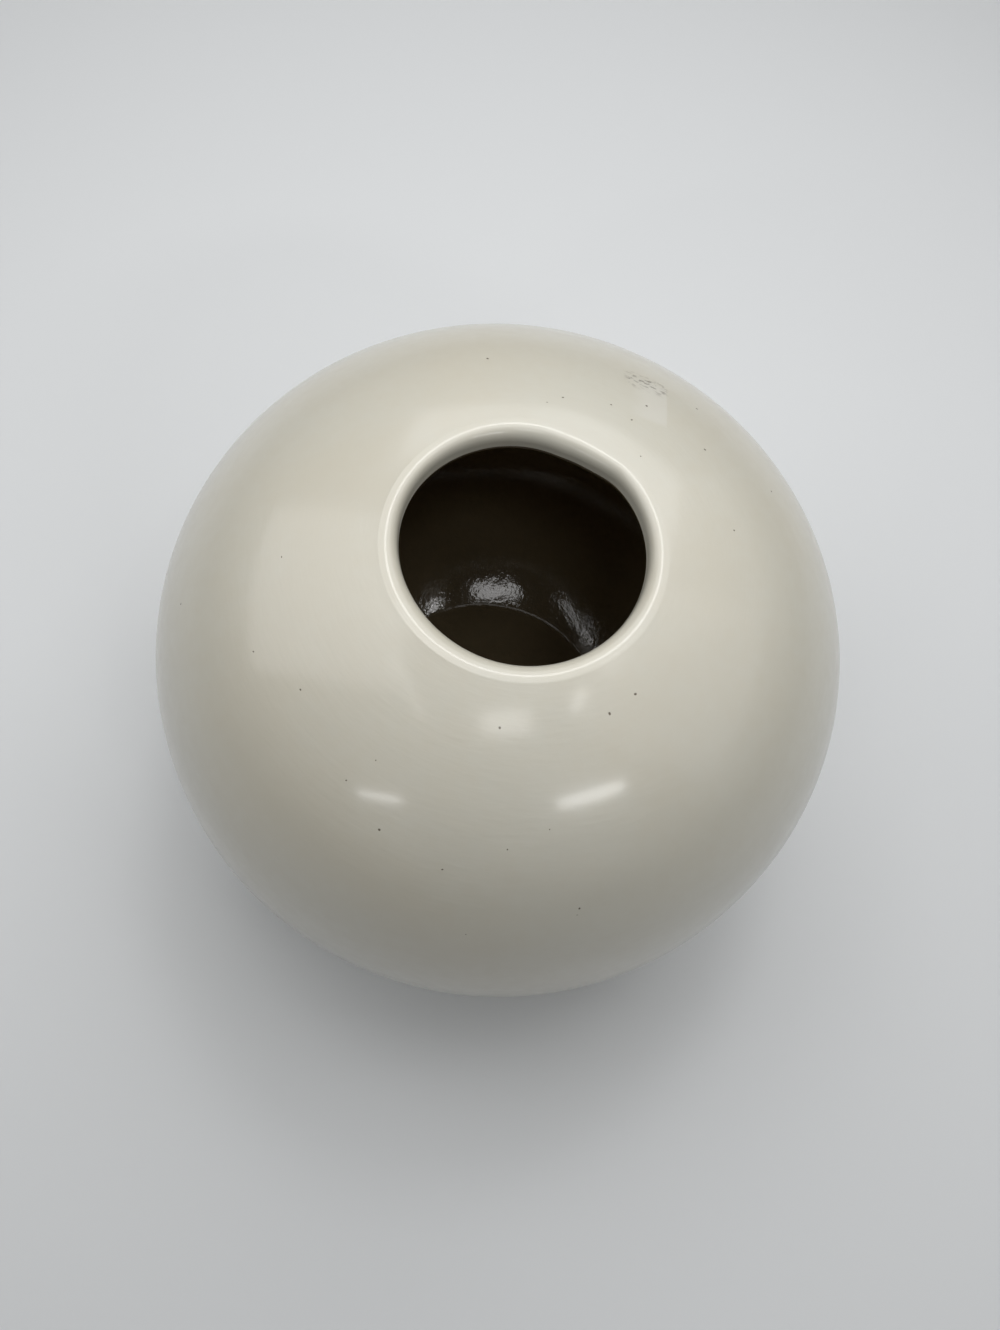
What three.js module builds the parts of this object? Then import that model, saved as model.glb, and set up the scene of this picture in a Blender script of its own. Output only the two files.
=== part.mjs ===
// Squat round flower vase in stoneware, cast in one piece, cream glaze outside and dark glaze inside.
// Everything turns about +Z. The foot stands on the plane z = 0, and sizes are in millimetres.
import * as THREE from "three";

// Belly: two half-ellipses that meet at the widest line, swollen between there and the poles
const BELLY_RADIUS = 99.6;
const BELLY_HEIGHT = 76;
const SHOULDER_RISE = 80.2;
const BASE_DROP = 79.6;
const FULLNESS = 0.0345;
const WALL = 5.8;

// Mouth: the wall's end makes the lip, rounded wide into the shoulder and close into the mouth
const MOUTH_RADIUS = 30.05;
const LIP_ROUND = 3.3;
const SHOULDER_ROUND = 7;
const THROAT_ROUND = 1.4;

// Foot: a bare ring round a shallow recess
const FOOT_RADIUS = 49;
const FOOT_WIDTH = 7;
const FOOT_CHAMFER = 0.8;
const FOOT_FILLET = 2;
const RECESS_DEPTH = 2.5;
const RECESS_SLOPE = 1.5;
const FLOOR = 6;

// Glaze coats, each measured from the clay, with a hair's breadth between so that no facets cross
const OUTER_GLAZE = 0.4;
const INNER_GLAZE = 0.4;
const GLAZE_SEAT = 0.02;

// Facets: steps along each stretch of the profile, and sides round the axis
const SIDES = 48;
const BELLY_STEPS = 8;
const SHOULDER_STEPS = 3;
const LIP_STEPS = 5;
const THROAT_STEPS = 3;
const INSIDE_STEPS = 12;
const FOOT_STEPS = 2;
const HALVINGS = 60;

const at = (radius, height) => new THREE.Vector2(radius, height);

// A point of the clay's outer curve, moved out along its normal by offset.
// angle runs from -90 degrees at the base's pole through 0 at the widest line to 90 at the top's pole.
function wall(angle, offset) {
  const rise = angle < 0 ? BASE_DROP : SHOULDER_RISE;
  const across = Math.cos(angle);
  const along = Math.sin(angle);
  const swell = 1 + FULLNESS * Math.sin(2 * angle) ** 2;
  const growth = 2 * FULLNESS * Math.sin(4 * angle);
  const point = at(BELLY_RADIUS * across * swell, BELLY_HEIGHT + rise * along * swell);
  const outward = rise * (across * swell + along * growth);
  const upward = BELLY_RADIUS * (along * swell - across * growth);
  return point.addScaledVector(at(outward, upward).normalize(), offset);
}

// The value between low and high where measure changes sign, by halving.
function crossing(low, high, measure) {
  const sign = Math.sign(measure(low));
  let [near, far] = [low, high];
  for (let i = 0; i < HALVINGS; i += 1) {
    const middle = (near + far) / 2;
    if (Math.sign(measure(middle)) === sign) near = middle;
    else far = middle;
  }
  return (near + far) / 2;
}

// Evenly spaced values from first to last, both included.
function spread(first, last, steps) {
  return Array.from({ length: steps + 1 }, (_, i) => first + ((last - first) * i) / steps);
}

function arc(centre, radius, first, last, steps) {
  const point = (turn) => at(Math.cos(turn), Math.sin(turn)).multiplyScalar(radius).add(centre);
  return spread(first, last, steps).map(point);
}

const POLE = Math.PI / 2;
const towards = (from, to) => to.clone().sub(from).angle();

// The shoulder's rounding lies inside the wall's curve, touches it and comes level at the lip's crest.
const crestRadius = MOUTH_RADIUS + LIP_ROUND;
const shoulderAngle = crossing(0, POLE, (angle) => wall(angle, -SHOULDER_ROUND).x - crestRadius);
const shoulderCentre = wall(shoulderAngle, -SHOULDER_ROUND);
const shoulderFrom = towards(shoulderCentre, wall(shoulderAngle, 0));
const lipCentre = at(crestRadius, shoulderCentre.y + SHOULDER_ROUND - LIP_ROUND);

// The throat's rounding turns the mouth's inner face into the underside of the shoulder.
const throatReach = MOUTH_RADIUS + THROAT_ROUND;
const throatAngle = crossing(0, POLE, (angle) => wall(angle, THROAT_ROUND - WALL).x - throatReach);
const throatCentre = wall(throatAngle, THROAT_ROUND - WALL);
const throatTo = towards(throatCentre, wall(throatAngle, -WALL));

// The foot's fillet turns the wall into the ring's upright side.
const footReach = FOOT_RADIUS + FOOT_FILLET;
const footAngle = crossing(0, -POLE, (angle) => wall(angle, FOOT_FILLET).x - footReach);
const footCentre = wall(footAngle, FOOT_FILLET);
const footFrom = towards(footCentre, at(FOOT_RADIUS, footCentre.y));
const footTo = towards(footCentre, wall(footAngle, 0));

const floorHeight = RECESS_DEPTH + FLOOR;
const recessRadius = FOOT_RADIUS - FOOT_WIDTH - RECESS_SLOPE;

// The bare underside, from the axis out to where the wall's glaze begins.
const footPath = [
  at(0, RECESS_DEPTH),
  at(recessRadius, RECESS_DEPTH),
  at(FOOT_RADIUS - FOOT_WIDTH, 0),
  at(FOOT_RADIUS - FOOT_CHAMFER, 0),
  at(FOOT_RADIUS, FOOT_CHAMFER),
  ...arc(footCentre, FOOT_FILLET, footFrom, footTo, FOOT_STEPS).slice(0, -1),
];

// The outside, from the foot over the lip to the glaze break in the mouth, moved out by offset.
function outsidePath(offset) {
  return [
    ...spread(footAngle, 0, BELLY_STEPS).map((angle) => wall(angle, offset)),
    ...spread(0, shoulderAngle, BELLY_STEPS).slice(1).map((angle) => wall(angle, offset)),
    ...arc(shoulderCentre, SHOULDER_ROUND + offset, shoulderFrom, POLE, SHOULDER_STEPS).slice(1),
    ...arc(lipCentre, LIP_ROUND + offset, POLE, Math.PI, LIP_STEPS).slice(1),
  ];
}

// The inside, from the glaze break down the mouth and round the throat to the middle of the floor.
function insidePath(offset) {
  const inset = -WALL - offset;
  const floor = floorHeight + offset;
  const creaseAngle = crossing(0, -POLE, (angle) => wall(angle, inset).y - floor);
  return [
    at(MOUTH_RADIUS - offset, lipCentre.y),
    ...arc(throatCentre, THROAT_ROUND + offset, Math.PI, throatTo, THROAT_STEPS),
    ...spread(throatAngle, creaseAngle, INSIDE_STEPS).slice(1).map((angle) => wall(angle, inset)),
    at(0, floor),
  ];
}

function glaze(color, roughness) {
  return new THREE.MeshStandardMaterial({ color, roughness, metalness: 0 });
}

function turned(name, profile, material) {
  const solid = new THREE.LatheGeometry(profile, SIDES).rotateX(POLE);
  const mesh = new THREE.Mesh(solid, material);
  mesh.name = name;
  return mesh;
}

// A coat is the closed band between the path that lies on the clay and the same path moved out.
function coat(name, path, thickness, material) {
  const band = [...path(GLAZE_SEAT).reverse(), ...path(thickness)];
  const closed = band[0].x > 0 ? [...band, band[0].clone()] : band;
  return turned(name, closed, material);
}

const clayProfile = [...footPath, ...outsidePath(0), ...insidePath(0).slice(1)];

const vase = new THREE.Group();
vase.add(
  turned("vase_body", clayProfile, glaze("#d3c9b6", 0.9)),
  coat("outer_glaze", outsidePath, OUTER_GLAZE, glaze("#ccc8bb", 0.42)),
  coat("inner_glaze", insidePath, INNER_GLAZE, glaze("#2d271e", 0.28)),
);

export default vase;
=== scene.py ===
"""A squat round flower vase in stoneware, with a cream satin coat outside and a dark coat inside.

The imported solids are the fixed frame. Three finer pieces stand for them: the clay and its two glaze coats.
Lengths are in metres, +Z is up along the vase's axis, and the photograph is taken from the -Y side.
"""

import math
from functools import reduce
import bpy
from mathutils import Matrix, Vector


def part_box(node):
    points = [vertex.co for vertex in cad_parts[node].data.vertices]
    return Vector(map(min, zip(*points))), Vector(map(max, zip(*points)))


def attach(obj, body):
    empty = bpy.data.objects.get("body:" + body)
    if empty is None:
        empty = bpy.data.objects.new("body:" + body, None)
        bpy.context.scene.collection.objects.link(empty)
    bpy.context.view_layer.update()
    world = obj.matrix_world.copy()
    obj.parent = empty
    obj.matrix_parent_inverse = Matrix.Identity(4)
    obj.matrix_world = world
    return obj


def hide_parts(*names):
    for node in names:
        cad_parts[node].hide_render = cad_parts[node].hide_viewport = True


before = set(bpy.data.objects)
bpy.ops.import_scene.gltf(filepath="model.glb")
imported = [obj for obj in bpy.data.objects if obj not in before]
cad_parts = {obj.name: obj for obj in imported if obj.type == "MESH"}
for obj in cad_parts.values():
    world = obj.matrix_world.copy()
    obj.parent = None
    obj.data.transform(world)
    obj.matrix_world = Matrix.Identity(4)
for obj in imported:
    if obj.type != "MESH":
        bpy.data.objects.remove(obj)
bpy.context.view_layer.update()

from types import SimpleNamespace
from typing import NamedTuple

import bpy
import numpy as np
from bpy.props import FloatProperty, FloatVectorProperty, PointerProperty
from mathutils import Matrix, Quaternion, Vector

bl_info = {
    "name": "Round Stoneware Vase",
    "version": (1, 0, 0),
    "blender": (4, 5, 0),
    "location": "3D View > Sidebar > Vase",
    "description": "Builds a squat round vase: bare clay, a cream coat outside and a dark coat inside",
    "category": "Object",
}

MM = 0.001
QUARTER = math.pi / 2
CLAY_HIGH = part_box("vase_body")[1]
COAT_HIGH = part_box("outer_glaze")[1]
HALVINGS = 60
CREASE_ANGLE = math.radians(20)

# Points along each stretch of the profile and round the axis; towards a coat's end they are packed closer
SIDES = 256
BELLY_STEPS = 64
SHOULDER_STEPS = 28
LIP_STEPS = 22
FACE_STEPS = 8
THROAT_STEPS = 10
INSIDE_STEPS = 120
FLOOR_STEPS = 24
FOOT_STEPS = 8
HIDDEN_THINNING = 4
END_PACKING = 1.8

# Handwork: steepness of the press's two sides, reach of a coat's bead in thicknesses of the coat, and the
# waves of the foot line, each by its count round the vase and its start in radians
SHARP_POWER = 4.5
SOFT_POWER = 1.5
BEAD_REACH = 3
FOOT_WAVES = ((3, 0.4), (7, 2.1), (11, 1.3))


def length(name, description, default):
    """A length property, default in metres."""
    return FloatProperty(name=name, description=description, default=default, unit="LENGTH", precision=5)


def amount(name, description, default):
    """A property without a unit."""
    return FloatProperty(name=name, description=description, default=default)


def turn(name, description, degrees):
    """An angle property, default in degrees."""
    return FloatProperty(name=name, description=description, default=math.radians(degrees), subtype="ANGLE")


def spot(name, description, default):
    """A place property, default in metres."""
    return FloatVectorProperty(name=name, description=description, default=default, subtype="TRANSLATION")


def tint(name, description, default):
    """A colour property, default in linear red, green and blue."""
    return FloatVectorProperty(
        name=name, description=description, default=default, size=3, min=0, max=1, subtype="COLOR"
    )


class VaseSizes(bpy.types.PropertyGroup):
    """The vase's profile: the solids' sizes, a longer lip, a lower throat and a bead at the coats' ends."""

    belly_radius: length("Belly radius", "Clay, from the axis to the widest line", CLAY_HIGH.x)
    belly_height: length("Belly height", "Height of the widest line above the table", 76 * MM)
    shoulder_rise: length("Shoulder rise", "Half-height of the curve above the widest line", 80.2 * MM)
    base_drop: length("Base drop", "Half-height of the curve below the widest line", 79.6 * MM)
    fullness: amount("Fullness", "Swelling of the curve midway to the poles", 0.0345)
    wall: length("Wall", "Thickness of the clay wall", 5.8 * MM)
    mouth_radius: length("Mouth radius", "Clay, from the axis to the mouth's inner face", 30.05 * MM)
    lip_round: length("Lip round", "Radius from the lip's crest into the mouth", 3.3 * MM)
    lip_face: length("Lip face", "How far the cream coat runs down the mouth below that round", 1.6 * MM)
    shoulder_round: length("Shoulder round", "Radius from the lip's crest into the shoulder", 7 * MM)
    throat_round: length("Throat round", "Radius under the mouth's inner face", 1.4 * MM)
    throat_drop: length("Throat drop", "How far the throat lies below that of the solids", 1.4 * MM)
    foot_radius: length("Foot radius", "Outer radius of the foot ring", 49 * MM)
    foot_width: length("Foot width", "Width of the foot ring", 7 * MM)
    foot_chamfer: length("Foot chamfer", "Rubbed edge of the foot ring", 0.8 * MM)
    foot_fillet: length("Foot fillet", "Radius between foot and wall", 2 * MM)
    recess_depth: length("Recess depth", "Depth of the hollow inside the foot ring", 2.5 * MM)
    recess_slope: length("Recess slope", "Run of the slope from the ring up to the hollow", 1.5 * MM)
    floor: length("Floor", "Thickness of the vase's floor", 6 * MM)
    coat: length("Glaze coat", "Thickness of either coat, a hair under the solids'", 0.399 * MM)
    seat: length("Glaze seat", "Gap between coat and clay", 0.02 * MM)
    bead: amount("Bead", "Thickening of a coat towards its end", 0.5)


class HandTrim(bpy.types.PropertyGroup):
    """Handwork that the solids leave out: the mouth's edge, a ring round the lip, the foot line, a warp."""

    oval: length("Oval", "Half the difference between the mouth's two widths", 0.488 * MM)
    oval_turn: turn("Oval turn", "Direction of the wider way across", -4.5)
    three: length("Three-sided wave", "How far the mouth leans to a three-sided shape", 0.287 * MM)
    three_turn: turn("Three-sided turn", "Direction of one of its corners", 41.2)
    lean: length("Lean", "How far the mouth is cut wider on its far side", 0.9 * MM)
    flat: length("Flat", "How far one side is pressed in", 1.096 * MM)
    flat_turn: turn("Flat turn", "Direction of the pressed side", 81.2)
    flat_sharp: turn("Flat, sharp side", "Reach of the press towards the right", 23.6)
    flat_soft: turn("Flat, soft side", "Reach of the press towards the left", 15.4)
    reach: length("Reach", "How far down the inside the trim fades out", 24 * MM)
    flat_reach: length("Flat reach", "How far out on the shoulder the press fades out", 9 * MM)
    ring: length("Ring", "Height of the turned ring at the lip's foot", 0.05 * MM)
    ring_radius: length("Ring radius", "Distance of that ring from the axis", 34.8 * MM)
    ring_width: length("Ring width", "Half-width of that ring", 0.4 * MM)
    ring_turn: turn("Ring turn", "Direction in which the ring is highest", -165)
    foot_wave: length("Foot wave", "How far the cream coat's lower edge wanders", 0.5 * MM)
    warp: length("Warp", "How far the belly is drawn in by the firing, at most", 0.2 * MM)
    warp_turn: turn("Warp turn", "Direction that isn't drawn in", 24)


class VaseColours(bpy.types.PropertyGroup):
    """Linear colours of the clay, the coats and the stage."""

    cream: tint("Cream", "Outer coat", (0.600, 0.582, 0.503))
    cream_warm: tint("Warm cream", "Outer coat where it lies thicker", (0.592, 0.560, 0.467))
    scuff: tint("Scuff", "Worn patch of the outer coat", (0.640, 0.625, 0.570))
    speck: tint("Speck", "Iron specks in the outer coat", (0.120, 0.095, 0.065))
    dark: tint("Dark", "Inner coat by the mouth", (0.110, 0.087, 0.053))
    # Painted light: this lighter brown, mixed in further down the inside, stands in for light in the dim
    # cavity
    dark_painted_light: tint("Dark brown", "Inner coat further down, where it lies thinner", (0.330, 0.256, 0.149))
    clay: tint("Clay", "Bare stoneware", (0.600, 0.530, 0.420))
    clay_dark: tint("Clay shade", "Grog and handling marks on bare stoneware", (0.400, 0.330, 0.240))
    floor: tint("Floor", "Table that the vase stands on", (0.720, 0.735, 0.745))


class StageSettings(bpy.types.PropertyGroup):
    """Camera and light."""

    camera_place: spot("Camera place", "Where the photograph is taken from", (0, -0.11428, 0.38311))
    camera_aim: spot("Camera aim", "Point in the middle of the picture", (0.00098, -0.00295, 0.07494))
    camera_roll: turn("Camera roll", "Turn of the camera about its line of sight", 13.761)
    camera_lens: amount("Lens", "Focal length on a 36 mm long side, in millimetres", 29.10)
    floor_reach: length("Floor reach", "Half the side of the table", 6)
    sky_level: amount("Sky level", "Light from all around", 0.01)


class Lamp(NamedTuple):
    """A rectangular lamp that faces the vase.

    Its long side spans between two directions, each an azimuth and an elevation in degrees. Its distance
    from the vase and its short side, the height, are in metres.
    """

    name: str
    first: tuple
    last: tuple
    distance: float
    height: float
    watts: float


class Speck(NamedTuple):
    """An iron speck on the shoulder: direction in degrees, distance from the axis and radius in mm."""

    azimuth: float
    distance: float
    radius: float


class Grain(NamedTuple):
    """A noise in a finish: features per unit of place, finer octaves, the strength of each beside the last.

    The unit is a metre unless the place is scaled. tone and roughness say how far the noise swings those, and
    height how far it raises the surface, in mm.
    """

    scale: float
    detail: float
    strength: float = 0.5
    tone: float = 0.0
    roughness: float = 0.0
    height: float = 0.0


LAMPS = (
    Lamp("panel_above", (180, 78), (0, 78), 1.2, 0.4, 0.60),
    Lamp("panel_far", (140, 50), (40, 50), 0.7, 0.7, 2.70),
    Lamp("panel_far_right", (60, 35), (20, 35), 0.6, 0.4, 0.18),
    Lamp("panel_left", (205, 42), (150, 42), 0.6, 0.5, 0.90),
    Lamp("panel_right", (30, 42), (-25, 42), 0.6, 0.5, 0.40),
    Lamp("lamp_far", (103, 63), (77, 63), 1.2, 0.2, 1.05),
    Lamp("lamp_high_left", (138, 73), (112, 77), 1.2, 0.12, 0.15),
    Lamp("lamp_high_right", (45, 69), (29, 71), 1.2, 0.12, 0.15),
    Lamp("lamp_right", (-58, 43.5), (-36, 40.5), 1.2, 0.08, 1.05),
    Lamp("lamp_left", (-120.5, 30), (-109, 36.8), 1.2, 0.03, 0.42),
    Lamp("lamp_near", (-91, 69), (-58, 70), 1.2, 0.14, 0.52),
    Lamp("strip_right", (-31, 67), (-16, 69), 1.2, 0.03, 0.16),
    Lamp("strip_left", (-159, 65), (-122, 63), 1.2, 0.03, 0.14),
)

SPECKS = (
    Speck(111, 58, 0.42), Speck(-52, 45, 0.45), Speck(-42, 44, 0.38), Speck(-85, 45, 0.38),
    Speck(-104, 73, 0.45), Speck(-80, 70, 0.30), Speck(-67, 83, 0.40), Speck(-85, 88, 0.30),
    Speck(-164, 86, 0.40), Speck(-166, 58, 0.30), Speck(-147, 68, 0.34), Speck(-134, 62, 0.32),
    Speck(34, 73, 0.36), Speck(22, 54, 0.30), Speck(94, 41, 0.30), Speck(89, 44, 0.34),
    Speck(74, 48, 0.30), Speck(66, 47, 0.34), Speck(66, 55, 0.40), Speck(54, 39, 0.26),
    Speck(58, 69, 0.44), Speck(47, 58, 0.36), Speck(77, 82, 0.42), Speck(-111, 61, 0.24),
    Speck(-114, 68, 0.24), Speck(-72, 66, 0.24), Speck(-91, 76, 0.28),
)

# Specks: the stir of their outline, their edge in radii, their depth in mm, and a scatter of finer ones.
# In each pair from here on, something is gone at the first value and full at the second
SPECK_STIR_SCALE = 1500
SPECK_STIR = 0.5 * MM
SPECK_EDGE = (1.0, 0.45)
SPECK_DEPTH = 0.05
SCATTER_SCALE = 55
SCATTER_RADIUS = 0.28 * MM
SCATTER_EDGE = (1.0, 0.4)
SCATTER_CHANCE = (0.60, 0.62)
SCATTER_TINT = 0.6

# Worn patch on the shoulder: middle, turn and half-sides; its fades are in half-sides or squares of them
SCUFF_PLACE = (22.1 * MM, 53.2 * MM, 144.1 * MM)
SCUFF_TURN = (math.radians(-24.5), math.radians(10.7), math.radians(-0.5))
SCUFF_REACH = (6.0 * MM, 9.6 * MM, 6.0 * MM)
SCUFF_SHARP_FADE = (1.0, 0.95)
SCUFF_SOFT_FADE = (-1.0, 0.2)
SCUFF_END_SQUARES = (1.1, 0.7)
SCUFF_DEPTH_SQUARES = (1.0, 0.5)
SCUFF_TINT = 0.5
SCUFF_ROUGHNESS = 0.06
SCUFF_GLOSS = 0.2

# Scratches at the top of that patch, drawn out across it: their grain is per half-side, their depth in mm
SCRATCH_GRAIN = Grain(scale=1.6, detail=3, strength=0.6)
SCRATCH_STRETCH = (1.6, 5.0, 1.0)
SCRATCH_EDGE = (0.51, 0.61)
SCRATCH_LOW_FADE = (0.25, 0.7)
SCRATCH_HIGH_FADE = (1.35, 0.9)
SCRATCH_SIDE_SQUARES = (1.3, 0.6)
SCRATCH_TINT = 0.6
SCRATCH_DEPTH = 0.15

# Cream glaze: a satin ground under a thin gloss. Its turning lines have their own scales per metre, one along
# the profile and a drift across the vase
CREAM_DRIFT = Grain(scale=14, detail=3, roughness=0.10)
CREAM_MOTTLE = Grain(scale=240, detail=2, tone=0.25, roughness=0.08)
CREAM_ROLL = Grain(scale=55, detail=1, height=0.20)
CREAM_PEEL = Grain(scale=600, detail=2, height=0.012)
CREAM_LINES = Grain(scale=1, detail=2, height=0.05)
LINE_SCALE = 480
LINE_DRIFT = 130
WARM_EDGE = (0.30, 0.72)
CREAM_ROUGHNESS = 0.38
CREAM_GLOSS = 0.7
CREAM_GLOSS_SWING = 0.2
CREAM_GLOSS_ROUGHNESS = 0.14
GLAZE_IOR = 1.5

# Dark glaze: how far below the top it starts to turn a lighter brown and has turned, and how far that line
# wanders. That lighter brown is painted light, standing in for light in the dim inside
DARK_DRIFT = Grain(scale=18, detail=2, tone=0.5, roughness=0.04, height=0.10)
DARK_MOTTLE = Grain(scale=260, detail=2, tone=0.2, roughness=0.04)
DARK_ROLL = Grain(scale=160, detail=1, height=0.06)
DARK_GRIT = Grain(scale=700, detail=2, height=0.045)
BROWN_FROM = 4 * MM
BROWN_TO = 34 * MM
BROWN_WANDER = 20 * MM
BROWN_TINT = 0.72
DARK_ROUGHNESS = 0.085

# Bare clay
CLAY_GRIT = Grain(scale=1400, detail=3, roughness=0.2, height=0.06)
CLAY_DRIFT = Grain(scale=60, detail=3, tone=0.4, height=0.05)
GROG_EDGE = (0.52, 0.72)
GROG_TINT = 0.5
CLAY_ROUGHNESS = 0.82

# Stage: the sensor's long side is in millimetres
TABLE_ROUGHNESS = 0.6
SENSOR_SIDE = 36
NEAREST_SEEN = 0.01

NOISE_MEAN = 0.5


class Wire:
    """One output of a shader node. Arithmetic on it adds Math nodes to the same tree."""

    def __init__(self, finish, socket):
        self.finish = finish
        self.socket = socket

    def math(self, operation, first, second):
        return self.finish.node("Math", {"operation": operation}, {"Value": first, "Value_001": second})

    def __add__(self, other):
        return self.math("ADD", self, other)

    def __sub__(self, other):
        return self.math("SUBTRACT", self, other)

    def __mul__(self, other):
        return self.math("MULTIPLY", self, other)

    def __truediv__(self, other):
        return self.math("DIVIDE", self, other)

    def at_most(self, other):
        return self.math("MINIMUM", self, other)

    def at_least(self, other):
        return self.math("MAXIMUM", self, other)

    __radd__ = __add__


class Noise(Wire):
    """A grain's noise, about its mean, with what it adds to a finish."""

    def __init__(self, finish, socket, grain):
        super().__init__(finish, socket)
        self.grain = grain

    def swing(self, reach):
        return (self - NOISE_MEAN) * reach

    def tone(self):
        return self.swing(self.grain.tone)

    def roughness(self):
        return self.swing(self.grain.roughness)

    def height(self):
        return self * self.grain.height


class Finish:
    """A node material under construction."""

    def __init__(self, name):
        self.material = bpy.data.materials.new(name)
        self.material.use_nodes = True
        self.tree = self.material.node_tree

    def fill(self, node, sockets):
        """Gives a node's sockets, named by identifier, their values or links."""
        for key, value in sockets.items():
            socket = next(s for s in node.inputs if s.identifier == key)
            if isinstance(value, Wire):
                self.tree.links.new(value.socket, socket)
            else:
                socket.default_value = value

    def node(self, kind, settings, sockets, output=0):
        """Adds a node: first its settings, then the values or links of its sockets."""
        made = self.tree.nodes.new("ShaderNode" + kind)
        for key, value in settings.items():
            setattr(made, key, value)
        self.fill(made, sockets)
        return Wire(self, made.outputs[output])

    def place(self):
        """Object coordinates, in metres."""
        return self.node("TexCoord", {}, {}, output="Object")

    def part(self, vector, axis):
        """A vector's part along the axis X, Y or Z."""
        return self.node("SeparateXYZ", {}, {"Vector": vector}, axis)

    def noise(self, vector, grain):
        """A grain's noise at a place."""
        numbers = {"Scale": grain.scale, "Detail": grain.detail, "Roughness": grain.strength}
        made = self.node("TexNoise", {}, {"Vector": vector, **numbers})
        return Noise(self, made.socket, grain)

    def vector(self, operation, first, second, output="Vector"):
        """Vector arithmetic on two vectors."""
        sockets = {"Vector": first, "Vector_001": second}
        return self.node("VectorMath", {"operation": operation}, sockets, output)

    def stirred(self, place, scale, reach):
        """A place shifted by smooth noise, by at most about reach metres."""
        stir = self.node("TexNoise", {}, {"Vector": place, "Scale": scale, "Detail": 1.0}, output="Color")
        centred = self.vector("SUBTRACT", stir, (NOISE_MEAN,) * 3)
        return self.vector("ADD", place, self.vector("MULTIPLY", centred, (reach,) * 3))

    def ease(self, value, gone, full):
        """0 at gone and beyond, 1 at full and beyond, and a smooth step between, rising or falling."""
        sockets = {"Value": value, "From Min": gone, "From Max": full}
        return self.node("MapRange", {"interpolation_type": "SMOOTHSTEP"}, sockets)

    def mix(self, share, first, second):
        """The colour that lies share of the way from first to second."""
        sockets = {"Factor_Float": share, "A_Color": first, "B_Color": second}
        return self.node("Mix", {"data_type": "RGBA"}, sockets, output=2)

    def bump(self, height):
        """The normal of a surface raised by height, in millimetres."""
        return self.node("Bump", {}, {"Height": height, "Distance": MM, "Strength": 1.0})

    def surface(self, sockets):
        """The material, with its Principled shader filled in."""
        self.fill(self.tree.nodes["Principled BSDF"], sockets)
        return self.material


def rgba(colour):
    return (*colour, 1.0)


def at(radius, height):
    """Points of the profile from radii and heights, either of which may be one value for all."""
    return np.stack(np.broadcast_arrays(radius, height), axis=-1)


def wall(sizes, angle, offset):
    """Points of the clay's outer curve, moved out along its normal by offset.

    Two half-ellipses meet at the widest line, angle 0, swollen by 1 + fullness sin(2 angle) squared.
    """
    rise = np.where(angle < 0, sizes.base_drop, sizes.shoulder_rise)
    across, along = np.cos(angle), np.sin(angle)
    swell = 1 + sizes.fullness * np.sin(2 * angle) ** 2
    growth = 2 * sizes.fullness * np.sin(4 * angle)
    out = rise * (across * swell + along * growth)
    up = sizes.belly_radius * (along * swell - across * growth)
    reach = offset / np.hypot(out, up)
    radius = sizes.belly_radius * across * swell + out * reach
    height = sizes.belly_height + rise * along * swell + up * reach
    return at(radius, height)


def crossing(low, high, measure):
    """The value between low and high where measure changes sign, by halving."""
    sign = np.sign(measure(low))
    for _ in range(HALVINGS):
        middle = (low + high) / 2
        if np.sign(measure(middle)) == sign:
            low = middle
        else:
            high = middle
    return (low + high) / 2


def towards(start, end):
    """Direction from one point of the profile to another, from 0 to a full turn."""
    return math.atan2(end[1] - start[1], end[0] - start[0]) % (2 * math.pi)


def arc(centre, radius, angle):
    """Points of a circle round centre at the given angles; radius is one value or one for each angle."""
    return centre + at(np.cos(angle), np.sin(angle)) * np.asarray(radius)[..., None]


def landmarks(sizes):
    """Angles and centres at which the profile's stretches meet, as in the solids.

    The shoulder's round touches the wall from within and is level at the lip's crest, the throat's round
    touches the wall's inside, and the foot's fillet rolls on the wall.
    """
    marks = SimpleNamespace()
    crest = sizes.mouth_radius + sizes.lip_round
    marks.shoulder = crossing(0, QUARTER, lambda a: wall(sizes, a, -sizes.shoulder_round)[0] - crest)
    marks.round = wall(sizes, marks.shoulder, -sizes.shoulder_round)
    marks.round_from = towards(marks.round, wall(sizes, marks.shoulder, 0))
    marks.lip = np.array([crest, marks.round[1] + sizes.shoulder_round - sizes.lip_round])
    inset = sizes.throat_round - sizes.wall
    throat_reach = sizes.mouth_radius + sizes.throat_round
    marks.throat_angle = crossing(0, QUARTER, lambda a: wall(sizes, a, inset)[0] - throat_reach)
    marks.throat = wall(sizes, marks.throat_angle, inset)
    marks.throat_to = towards(marks.throat, wall(sizes, marks.throat_angle, -sizes.wall))
    foot_reach = sizes.foot_radius + sizes.foot_fillet
    marks.foot_angle = crossing(0, -QUARTER, lambda a: wall(sizes, a, sizes.foot_fillet)[0] - foot_reach)
    marks.foot = wall(sizes, marks.foot_angle, sizes.foot_fillet)
    marks.foot_from = towards(marks.foot, (sizes.foot_radius, marks.foot[1]))
    marks.foot_to = towards(marks.foot, wall(sizes, marks.foot_angle, 0))
    return marks


def smooth(share):
    """A step from 0 to 1 that starts and ends level: 3 s squared less 2 s cubed."""
    share = np.clip(share, 0, 1)
    return share * share * (3 - 2 * share)


def rounded_end(sizes, thickness, run):
    """Thickness of a coat at a distance run from its end: a quarter-round, then a bead that thins out."""
    rise = 1 - np.clip(run / thickness, 0, 1)
    bead = sizes.bead * np.exp(-((run / (BEAD_REACH * thickness)) ** 2))
    return thickness * np.sqrt(1 - rise**2) * (1 + bead)


def stretch(points, trim=0.0, press=None):
    """Points of the profile with the shares of the mouth's trim and of its press that each follows."""
    pair = (trim, trim if press is None else press)
    shares = [np.broadcast_to(share, points.shape[:-1]) for share in pair]
    return np.concatenate([points, np.stack(shares, axis=-1)], axis=-1)


def around():
    """Directions of the grid's columns."""
    return np.linspace(0, 2 * math.pi, SIDES, endpoint=False)


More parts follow.
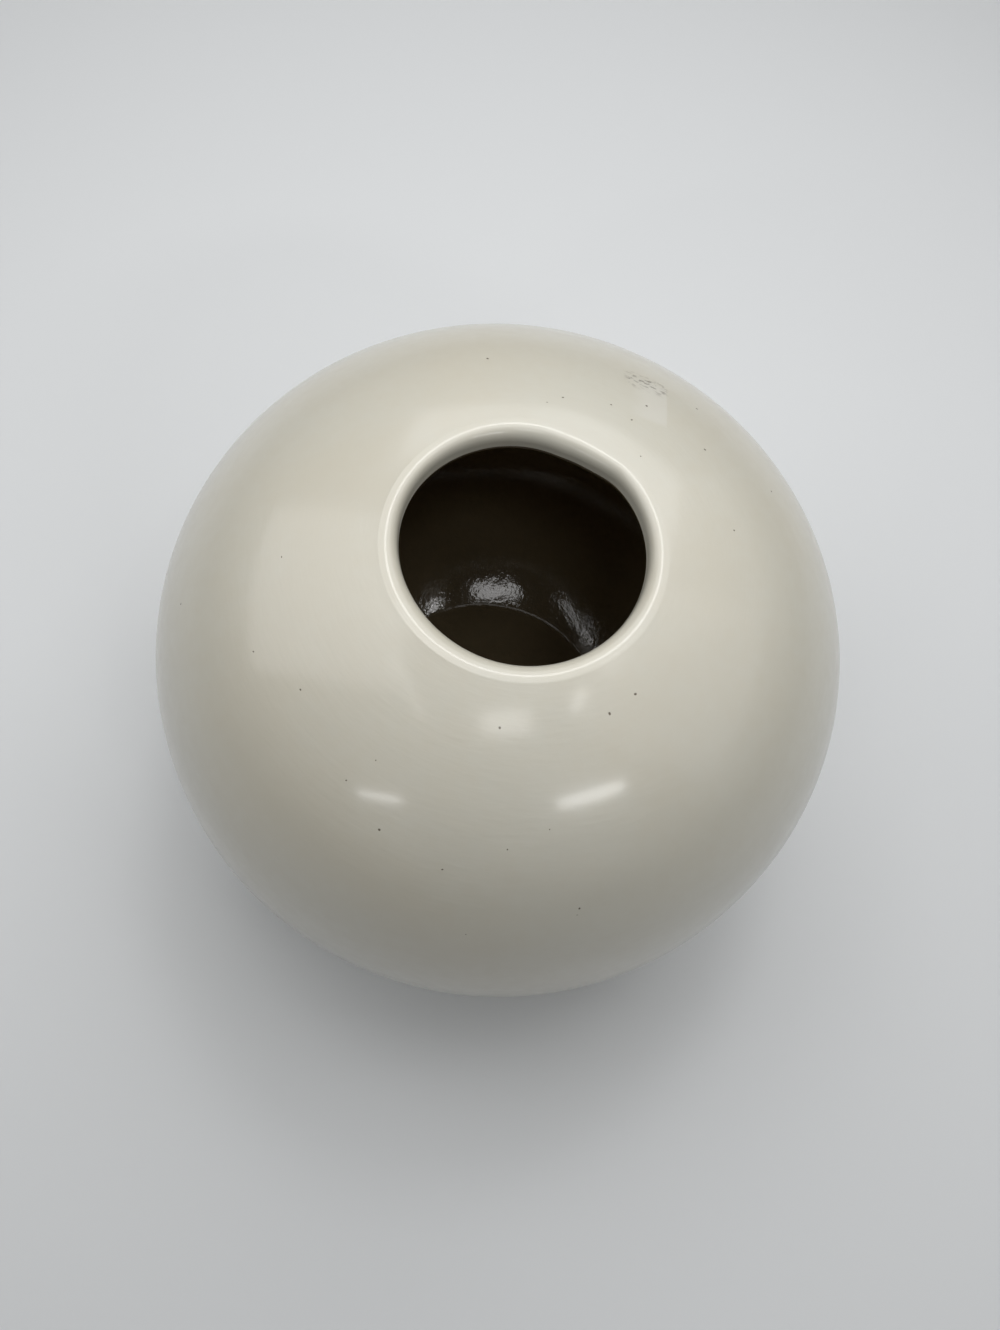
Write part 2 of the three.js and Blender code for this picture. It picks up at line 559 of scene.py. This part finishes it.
def rings(points):
    """The same profile points in every direction."""
    return np.repeat(points[:, None], SIDES, axis=1)


def pressed(trim, marks, points):
    """Share of the mouth's press on the shoulder: all at the lip's crest, none from flat_reach outwards."""
    return 1 - smooth((points[..., 0] - marks.lip[0]) / trim.flat_reach)


def foot_line(sizes, trim, marks):
    """Angle on the wall where the outside begins, by direction: the foot's, raised by a mean of cosines."""
    counts, starts = np.array(FOOT_WAVES).T
    wander = np.cos(counts * around()[:, None] + starts).mean(axis=-1)
    return marks.foot_angle + (1 + wander) / 2 * trim.foot_wave / sizes.base_drop


def turned_ring(trim, azimuth, radius):
    """Height of the ring round the lip's foot: a bell over the radius, highest towards ring_turn."""
    side = ((1 + np.cos(azimuth - trim.ring_turn)) / 2) ** 2
    return trim.ring * side * np.exp(-(((radius - trim.ring_radius) / trim.ring_width) ** 2))


def outside(sizes, trim, marks, thickness, finished, thinning=1):
    """The outside, from the foot line over the lip to the glaze break in the mouth.

    The wall below and above the widest line, the shoulder's round, the lip's quarter-round and its upright
    face follow each other. A finished coat has rounded ends and the turned ring. Thinning is for a hidden
    side: it divides the number of points on the wall.
    """
    first = foot_line(sizes, trim, marks)
    lower = first * (1 - np.linspace(0, 1, BELLY_STEPS // thinning)[:, None] ** END_PACKING)
    upper = np.linspace(0, marks.shoulder, BELLY_STEPS // thinning)[1:]
    level = np.linspace(marks.round_from, QUARTER, SHOULDER_STEPS)[1:]
    inner = np.linspace(QUARTER, math.pi, LIP_STEPS)[1:]
    left = sizes.lip_face * np.linspace(1, 0, FACE_STEPS)[1:] ** END_PACKING
    crest = arc(marks.round, sizes.shoulder_round + thickness, level)
    shoulder = rings(np.concatenate([wall(sizes, upper, thickness), crest]))
    foot_coat = lip_coat = face_coat = thickness
    if finished:
        shoulder[..., 1] += turned_ring(trim, around(), shoulder[..., 0])
        foot_coat = rounded_end(sizes, thickness, (lower - first) * sizes.base_drop + sizes.seat)
        lip_coat = rounded_end(sizes, thickness, (math.pi - inner) * sizes.lip_round + sizes.lip_face)
        face_coat = rounded_end(sizes, thickness, left + sizes.seat)
    lip = arc(marks.lip, sizes.lip_round + lip_coat, inner)
    turned_over = smooth((inner - QUARTER) / QUARTER)
    face = at(sizes.mouth_radius - face_coat, marks.lip[1] - sizes.lip_face + left)
    return np.concatenate([
        stretch(wall(sizes, lower, foot_coat)),
        stretch(shoulder, 0.0, pressed(trim, marks, shoulder)),
        stretch(rings(lip), turned_over[:, None], 1.0),
        stretch(rings(face), 1.0),
    ])


def inside(sizes, trim, marks, thickness, thinning=1):
    """The inside, from the glaze break down the mouth and round the throat to near the middle of the floor.

    The mouth's trim and the throat's drop fade out down the wall. The last point, on the axis, is left to
    the fan that closes the floor. Thinning divides the number of points on wall and floor.
    """
    floor = sizes.recess_depth + sizes.floor + thickness
    inset = -sizes.wall - thickness
    crease = crossing(0, -QUARTER, lambda a: wall(sizes, a, inset)[1] - floor)
    throat_centre = marks.throat - [0, sizes.throat_drop]
    drop = np.linspace(marks.lip[1] - sizes.lip_face, throat_centre[1], FACE_STEPS)[:-1]
    face = at(sizes.mouth_radius - thickness, drop)
    turn_under = np.linspace(math.pi, marks.throat_to, THROAT_STEPS)
    throat = arc(throat_centre, sizes.throat_round + thickness, turn_under)
    down = np.linspace(marks.throat_angle, crease, INSIDE_STEPS // thinning)[1:]
    side = wall(sizes, down, inset)
    left = 1 - smooth(np.hypot(*(side - side[0]).T) / trim.reach)
    side[:, 1] -= sizes.throat_drop * left
    inwards = np.linspace(side[-1, 0], 0, FLOOR_STEPS // thinning)[1:-1]
    return np.concatenate([
        stretch(rings(face), 1.0),
        stretch(rings(throat), 1.0),
        stretch(rings(side), left[:, None]),
        stretch(rings(at(inwards, floor))),
    ])


def underside(sizes, marks):
    """The bare clay from near the axis out over the recess and the foot ring to the wall."""
    ring_in = sizes.foot_radius - sizes.foot_width
    outwards = np.linspace(0, ring_in - sizes.recess_slope, FLOOR_STEPS)[1:]
    recess = at(outwards, sizes.recess_depth)
    ring = np.array([
        [ring_in, 0],
        [sizes.foot_radius - sizes.foot_chamfer, 0],
        [sizes.foot_radius, sizes.foot_chamfer],
    ])
    turn_up = np.linspace(marks.foot_from, marks.foot_to, FOOT_STEPS)[:-1]
    fillet = arc(marks.foot, sizes.foot_fillet, turn_up)
    return stretch(rings(np.concatenate([recess, ring, fillet])))


def mouth_waves(trim, azimuth):
    """How far the mouth's edge stands outside its circle: the sum of an oval, a three-sided wave, a lean."""
    oval = trim.oval * np.cos(2 * (azimuth - trim.oval_turn))
    three = trim.three * np.cos(3 * (azimuth - trim.three_turn))
    lean = trim.lean * ((1 + np.sin(azimuth)) / 2) ** 2
    return oval + three + lean


def mouth_press(trim, azimuth):
    """How far the lip is pressed in: flat exp(-(away / reach) ** power), steeper on its right side."""
    away = (azimuth - trim.flat_turn + math.pi) % (2 * math.pi) - math.pi
    reach = np.where(away < 0, trim.flat_sharp, trim.flat_soft)
    power = np.where(away < 0, SHARP_POWER, SOFT_POWER)
    return trim.flat * np.exp(-((np.abs(away) / reach) ** power))


def swept(trim, profile):
    """Points x = r cos a, y = r sin a, z = h of a profile turned about the axis.

    r is drawn in by the firing's warp, most near the widest line, and shifted by each point's shares of the
    mouth's waves and press.
    """
    azimuth = around()
    radius, height, waved, press = np.moveaxis(profile, -1, 0)
    level = np.clip(height / COAT_HIGH.z, 0, 1)
    drawn = trim.warp * np.sin(math.pi * level) ** 2 * (1 - np.cos(2 * (azimuth - trim.warp_turn))) / 2
    radius = radius - drawn + waved * mouth_waves(trim, azimuth) - press * mouth_press(trim, azimuth)
    return np.stack([radius * np.cos(azimuth), radius * np.sin(azimuth), height], axis=-1)


def quads(rows, columns, loop):
    """Faces between neighbours of a grid whose columns close, and its rows too if the profile is a loop."""
    row, column = np.meshgrid(np.arange(rows if loop else rows - 1), np.arange(columns), indexing="ij")
    here, below = row * columns, (row + 1) % rows * columns
    beside = (column + 1) % columns
    corners = [here + column, here + beside, below + beside, below + column]
    return np.stack(corners, axis=-1).reshape(-1, 4)


def make_piece(name, grid, material, poles=()):
    """A mesh object from a grid of points, with a fan of triangles at each end that is a pole."""
    rows, columns = grid.shape[:2]
    points = grid.reshape(-1, 3)
    faces = quads(rows, columns, not poles).tolist()
    if poles:
        column = np.arange(columns)
        beside = (column + 1) % columns
        last = (rows - 1) * columns
        start, end = len(points), len(points) + 1
        points = np.concatenate([points, [[0, 0, poles[0]], [0, 0, poles[1]]]])
        faces += np.stack([np.full(columns, start), beside, column], axis=-1).tolist()
        faces += np.stack([last + column, last + beside, np.full(columns, end)], axis=-1).tolist()
    mesh = bpy.data.meshes.new(name)
    mesh.from_pydata(points.tolist(), [], faces)
    mesh.polygons.foreach_set("use_smooth", np.ones(len(faces), dtype=bool))
    mesh.set_sharp_from_angle(angle=CREASE_ANGLE)
    if mesh.validate():
        raise RuntimeError(f"{name} has faces that don't hold")
    mesh.materials.append(material)
    piece = bpy.data.objects.new(name, mesh)
    bpy.context.scene.collection.objects.link(piece)
    return piece


def settle(piece, node):
    """Lets a piece stand for a solid: it rides on the vase's one body and the solid is hidden."""
    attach(piece, "root")
    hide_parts(node)


def on_coat(sizes, azimuth, distance):
    """The place on the cream coat's shoulder at a direction in degrees and a distance from the axis."""
    angle = crossing(0, QUARTER, lambda a: wall(sizes, a, sizes.coat)[0] - distance)
    height = wall(sizes, angle, sizes.coat)[1]
    turned = math.radians(azimuth)
    return (distance * math.cos(turned), distance * math.sin(turned), height)


def speck_share(finish, place, sizes):
    """1 in the middle of a speck, 0 away from all: the known ones and a sparse scatter of finer ones."""
    wavy = finish.stirred(place, SPECK_STIR_SCALE, SPECK_STIR)
    gaps = [
        finish.vector("DISTANCE", wavy, on_coat(sizes, speck.azimuth, speck.distance * MM), "Value")
        / (speck.radius * MM)
        for speck in SPECKS
    ]
    known = finish.ease(reduce(Wire.at_most, gaps), *SPECK_EDGE)
    cell = {"Vector": wavy, "Scale": SCATTER_SCALE}
    random = finish.node("TexVoronoi", {}, cell, "Color")
    chance = finish.node("SeparateColor", {}, {"Color": random}, "Red")
    gap = finish.node("TexVoronoi", {}, cell, "Distance") / (SCATTER_RADIUS * SCATTER_SCALE)
    scatter = finish.ease(gap, *SCATTER_EDGE) * finish.ease(chance, *SCATTER_CHANCE) * SCATTER_TINT
    return known.at_least(scatter)


def scuff_shares(finish, place):
    """How worn the shoulder's patch is at a place, and the share of scratches in it.

    In its own frame the patch reaches from -1 to 1 both ways, with one sharp side and scratches at its top.
    """
    local = finish.node(
        "Mapping", {"vector_type": "TEXTURE"},
        {"Vector": place, "Location": SCUFF_PLACE, "Rotation": SCUFF_TURN, "Scale": SCUFF_REACH},
    )
    across, along, high = (finish.part(local, axis) for axis in "XYZ")
    near = finish.ease(high * high, *SCUFF_DEPTH_SQUARES)
    sides = finish.ease(across, *SCUFF_SHARP_FADE) * finish.ease(across, *SCUFF_SOFT_FADE)
    worn = sides * finish.ease(along * along, *SCUFF_END_SQUARES)
    strokes = finish.noise(finish.vector("MULTIPLY", local, SCRATCH_STRETCH), SCRATCH_GRAIN)
    top = finish.ease(along, *SCRATCH_LOW_FADE) * finish.ease(along, *SCRATCH_HIGH_FADE)
    middle = finish.ease(across * across, *SCRATCH_SIDE_SQUARES)
    return worn * near, finish.ease(strokes, *SCRATCH_EDGE) * (top * middle) * near


def turning_lines(finish, place):
    """Noise in fine lines round the axis, quick along the profile and slow across the vase.

    It is read at x and y times LINE_DRIFT and at z, less the distance from the axis, times LINE_SCALE.
    """
    across = finish.vector("MULTIPLY", place, (LINE_DRIFT, LINE_DRIFT, 0))
    away = finish.vector("DISTANCE", finish.vector("MULTIPLY", place, (1, 1, 0)), (0, 0, 0), "Value")
    along = finish.node("CombineXYZ", {}, {"Z": (finish.part(place, "Z") - away) * LINE_SCALE})
    return finish.noise(finish.vector("ADD", across, along), CREAM_LINES)


def cream_finish(colours, sizes):
    """Satin cream glaze: drifting tone, mottling, turning lines, iron specks, a worn patch, a soft peel."""
    finish = Finish("cream_satin_glaze")
    place = finish.place()
    drift = finish.noise(place, CREAM_DRIFT)
    mottle = finish.noise(place, CREAM_MOTTLE)
    roll = finish.noise(place, CREAM_ROLL)
    peel = finish.noise(place, CREAM_PEEL)
    lines = turning_lines(finish, place)
    speck = speck_share(finish, place, sizes)
    worn, scratch = scuff_shares(finish, place)
    warm = finish.ease(drift + mottle.tone(), *WARM_EDGE)
    colour = finish.mix(warm, rgba(colours.cream), rgba(colours.cream_warm))
    colour = finish.mix(worn * SCUFF_TINT, colour, rgba(colours.scuff))
    colour = finish.mix(scratch * SCRATCH_TINT, colour, rgba(colours.speck))
    colour = finish.mix(speck, colour, rgba(colours.speck))
    raised = roll.height() + lines.height() + peel.height()
    return finish.surface({
        "Base Color": colour,
        "Roughness": CREAM_ROUGHNESS + drift.roughness() + mottle.roughness() + worn * SCUFF_ROUGHNESS,
        "Normal": finish.bump(raised - speck * SPECK_DEPTH - scratch * SCRATCH_DEPTH),
        "Coat Weight": CREAM_GLOSS + mottle.swing(CREAM_GLOSS_SWING) - worn * SCUFF_GLOSS,
        "Coat Roughness": CREAM_GLOSS_ROUGHNESS,
        "IOR": GLAZE_IOR,
    })


def dark_finish(colours):
    """Dark semi-gloss glaze with a fine grain, painted a lighter brown down the inside as painted light in
    the dim cavity.
    """
    finish = Finish("dark_inner_glaze")
    place = finish.place()
    drift = finish.noise(place, DARK_DRIFT)
    mottle = finish.noise(place, DARK_MOTTLE)
    roll = finish.noise(place, DARK_ROLL)
    grit = finish.noise(place, DARK_GRIT)
    height = finish.part(place, "Z") + drift.swing(BROWN_WANDER)
    depth = finish.ease(height, COAT_HIGH.z - BROWN_FROM, COAT_HIGH.z - BROWN_TO)
    # Share of painted light: the coat is painted a lighter brown with depth, standing in for light in the
    # cavity
    brown = depth * (BROWN_TINT + drift.tone() + mottle.tone())
    return finish.surface({
        "Base Color": finish.mix(brown, rgba(colours.dark), rgba(colours.dark_painted_light)),
        "Roughness": DARK_ROUGHNESS + drift.roughness() + mottle.roughness(),
        "Normal": finish.bump(drift.height() + roll.height() + grit.height()),
        "IOR": GLAZE_IOR,
    })


def clay_finish(colours):
    """Bare stoneware: dry, grainy, with darker grog."""
    finish = Finish("bare_stoneware")
    place = finish.place()
    grit = finish.noise(place, CLAY_GRIT)
    drift = finish.noise(place, CLAY_DRIFT)
    shade = finish.ease(grit, *GROG_EDGE) * GROG_TINT + drift.tone()
    return finish.surface({
        "Base Color": finish.mix(shade, rgba(colours.clay), rgba(colours.clay_dark)),
        "Roughness": CLAY_ROUGHNESS + grit.roughness(),
        "Normal": finish.bump(grit.height() + drift.height()),
    })


class VASE_OT_clay_body(bpy.types.Operator):
    """Builds the fired clay: wall, floor, lip and bare foot ring in one"""

    bl_idname = "vase.clay_body"
    bl_label = "Clay Body"

    def execute(self, context):
        sizes, trim = context.scene.vase_sizes, context.scene.vase_trim
        marks = landmarks(sizes)
        profile = np.concatenate([
            underside(sizes, marks),
            outside(sizes, trim, marks, 0.0, finished=False, thinning=HIDDEN_THINNING),
            inside(sizes, trim, marks, 0.0, thinning=HIDDEN_THINNING)[1:],
        ])
        poles = (sizes.recess_depth, sizes.recess_depth + sizes.floor)
        material = clay_finish(context.scene.vase_colours)
        piece = make_piece("clay_body", swept(trim, profile), material, poles)
        settle(piece, "vase_body")
        return {"FINISHED"}


class VASE_OT_cream_coat(bpy.types.Operator):
    """Builds the cream coat, from the foot line over the lip to the glaze break"""

    bl_idname = "vase.cream_coat"
    bl_label = "Cream Coat"

    def execute(self, context):
        sizes, trim = context.scene.vase_sizes, context.scene.vase_trim
        marks = landmarks(sizes)
        shown = outside(sizes, trim, marks, sizes.coat, finished=True)
        hidden = outside(sizes, trim, marks, sizes.seat, finished=False, thinning=HIDDEN_THINNING)
        profile = np.concatenate([shown, hidden[::-1]])
        material = cream_finish(context.scene.vase_colours, sizes)
        piece = make_piece("cream_coat", swept(trim, profile), material)
        settle(piece, "outer_glaze")
        return {"FINISHED"}


class VASE_OT_dark_coat(bpy.types.Operator):
    """Builds the dark coat, from the glaze break over the whole inside"""

    bl_idname = "vase.dark_coat"
    bl_label = "Dark Coat"

    def execute(self, context):
        sizes, trim = context.scene.vase_sizes, context.scene.vase_trim
        marks = landmarks(sizes)
        shown = inside(sizes, trim, marks, sizes.coat)
        hidden = inside(sizes, trim, marks, sizes.seat, thinning=HIDDEN_THINNING)
        profile = np.concatenate([hidden[::-1], shown])
        floor = sizes.recess_depth + sizes.floor
        poles = (floor + sizes.seat, floor + sizes.coat)
        material = dark_finish(context.scene.vase_colours)
        piece = make_piece("dark_coat", swept(trim, profile), material, poles)
        settle(piece, "inner_glaze")
        return {"FINISHED"}


def make_floor(reach, colour):
    """A flat square table at z = 0."""
    finish = Finish("pale_table")
    material = finish.surface({"Base Color": rgba(colour), "Roughness": TABLE_ROUGHNESS})
    side = np.array([-reach, reach])
    corners = np.stack([*np.meshgrid(side, side), np.zeros((2, 2))], axis=-1).reshape(-1, 3)
    mesh = bpy.data.meshes.new("table")
    mesh.from_pydata(corners.tolist(), [], [(0, 1, 3, 2)])
    mesh.materials.append(material)
    floor = bpy.data.objects.new("table", mesh)
    bpy.context.scene.collection.objects.link(floor)


def direction(azimuth, elevation):
    """Unit vector towards an azimuth and an elevation in degrees."""
    turned, raised = math.radians(azimuth), math.radians(elevation)
    flat = math.cos(raised)
    return Vector((flat * math.cos(turned), flat * math.sin(turned), math.sin(raised)))


def make_lamp(lamp, target):
    """A rectangular lamp at its distance from target, facing it."""
    first, last = direction(*lamp.first) * lamp.distance, direction(*lamp.last) * lamp.distance
    across = (last - first).normalized()
    away = (first + last).normalized()
    light = bpy.data.lights.new(lamp.name, "AREA")
    light.shape = "RECTANGLE"
    light.size = (last - first).length
    light.size_y = lamp.height
    light.energy = lamp.watts
    made = bpy.data.objects.new(lamp.name, light)
    made.location = target + (first + last) / 2
    made.rotation_mode = "QUATERNION"
    made.rotation_quaternion = Matrix((across, away.cross(across), away)).transposed().to_quaternion()
    made.visible_camera = False
    bpy.context.scene.collection.objects.link(made)


def make_sky(level, colour):
    """Even light from all around."""
    world = bpy.data.worlds.new("studio")
    world.use_nodes = True
    sky = world.node_tree.nodes["Background"]
    sky.inputs["Color"].default_value = rgba(colour)
    sky.inputs["Strength"].default_value = level
    bpy.context.scene.world = world


def make_camera(settings):
    """The photograph's camera: a place, a point to look at and a roll about the line of sight."""
    place, aim = Vector(settings.camera_place), Vector(settings.camera_aim)
    lens = bpy.data.cameras.new("camera")
    lens.sensor_fit = "AUTO"
    lens.sensor_width = SENSOR_SIDE
    lens.lens = settings.camera_lens
    lens.clip_start = NEAREST_SEEN
    camera = bpy.data.objects.new("camera", lens)
    camera.location = place
    camera.rotation_mode = "QUATERNION"
    level = (aim - place).to_track_quat("-Z", "Y")
    camera.rotation_quaternion = level @ Quaternion((0, 0, 1), settings.camera_roll)
    bpy.context.scene.collection.objects.link(camera)
    bpy.context.scene.camera = camera


class VASE_OT_stage(bpy.types.Operator):
    """Sets up the table, the lamps, the backdrop and the camera"""

    bl_idname = "vase.stage"
    bl_label = "Stage"

    def execute(self, context):
        settings, colours = context.scene.vase_stage, context.scene.vase_colours
        make_floor(settings.floor_reach, colours.floor)
        middle = Vector((0, 0, context.scene.vase_sizes.belly_height))
        for lamp in LAMPS:
            make_lamp(lamp, middle)
        make_sky(settings.sky_level, colours.floor)
        make_camera(settings)
        context.scene.view_settings.view_transform = "Standard"
        return {"FINISHED"}


class VASE_PT_sidebar(bpy.types.Panel):
    """The vase's settings and the steps that build it"""

    bl_idname = "VASE_PT_sidebar"
    bl_label = "Round Stoneware Vase"
    bl_space_type = "VIEW_3D"
    bl_region_type = "UI"
    bl_category = "Vase"

    def draw(self, context):
        for step in STEPS:
            self.layout.operator(step.bl_idname)
        for name in GROUPS:
            box = self.layout.box()
            group = getattr(context.scene, name)
            for key in group.__annotations__:
                box.prop(group, key)


GROUPS = {
    "vase_sizes": VaseSizes,
    "vase_trim": HandTrim,
    "vase_colours": VaseColours,
    "vase_stage": StageSettings,
}
STEPS = (VASE_OT_clay_body, VASE_OT_cream_coat, VASE_OT_dark_coat, VASE_OT_stage)
CLASSES = (*GROUPS.values(), *STEPS, VASE_PT_sidebar)


def register():
    for cls in CLASSES:
        bpy.utils.register_class(cls)
    for name, group in GROUPS.items():
        setattr(bpy.types.Scene, name, PointerProperty(type=group))


def unregister():
    for name in GROUPS:
        delattr(bpy.types.Scene, name)
    for cls in reversed(CLASSES):
        bpy.utils.unregister_class(cls)


def main():
    register()
    bpy.ops.vase.clay_body()
    bpy.ops.vase.cream_coat()
    bpy.ops.vase.dark_coat()
    bpy.ops.vase.stage()


if __name__ == "__main__":
    main()
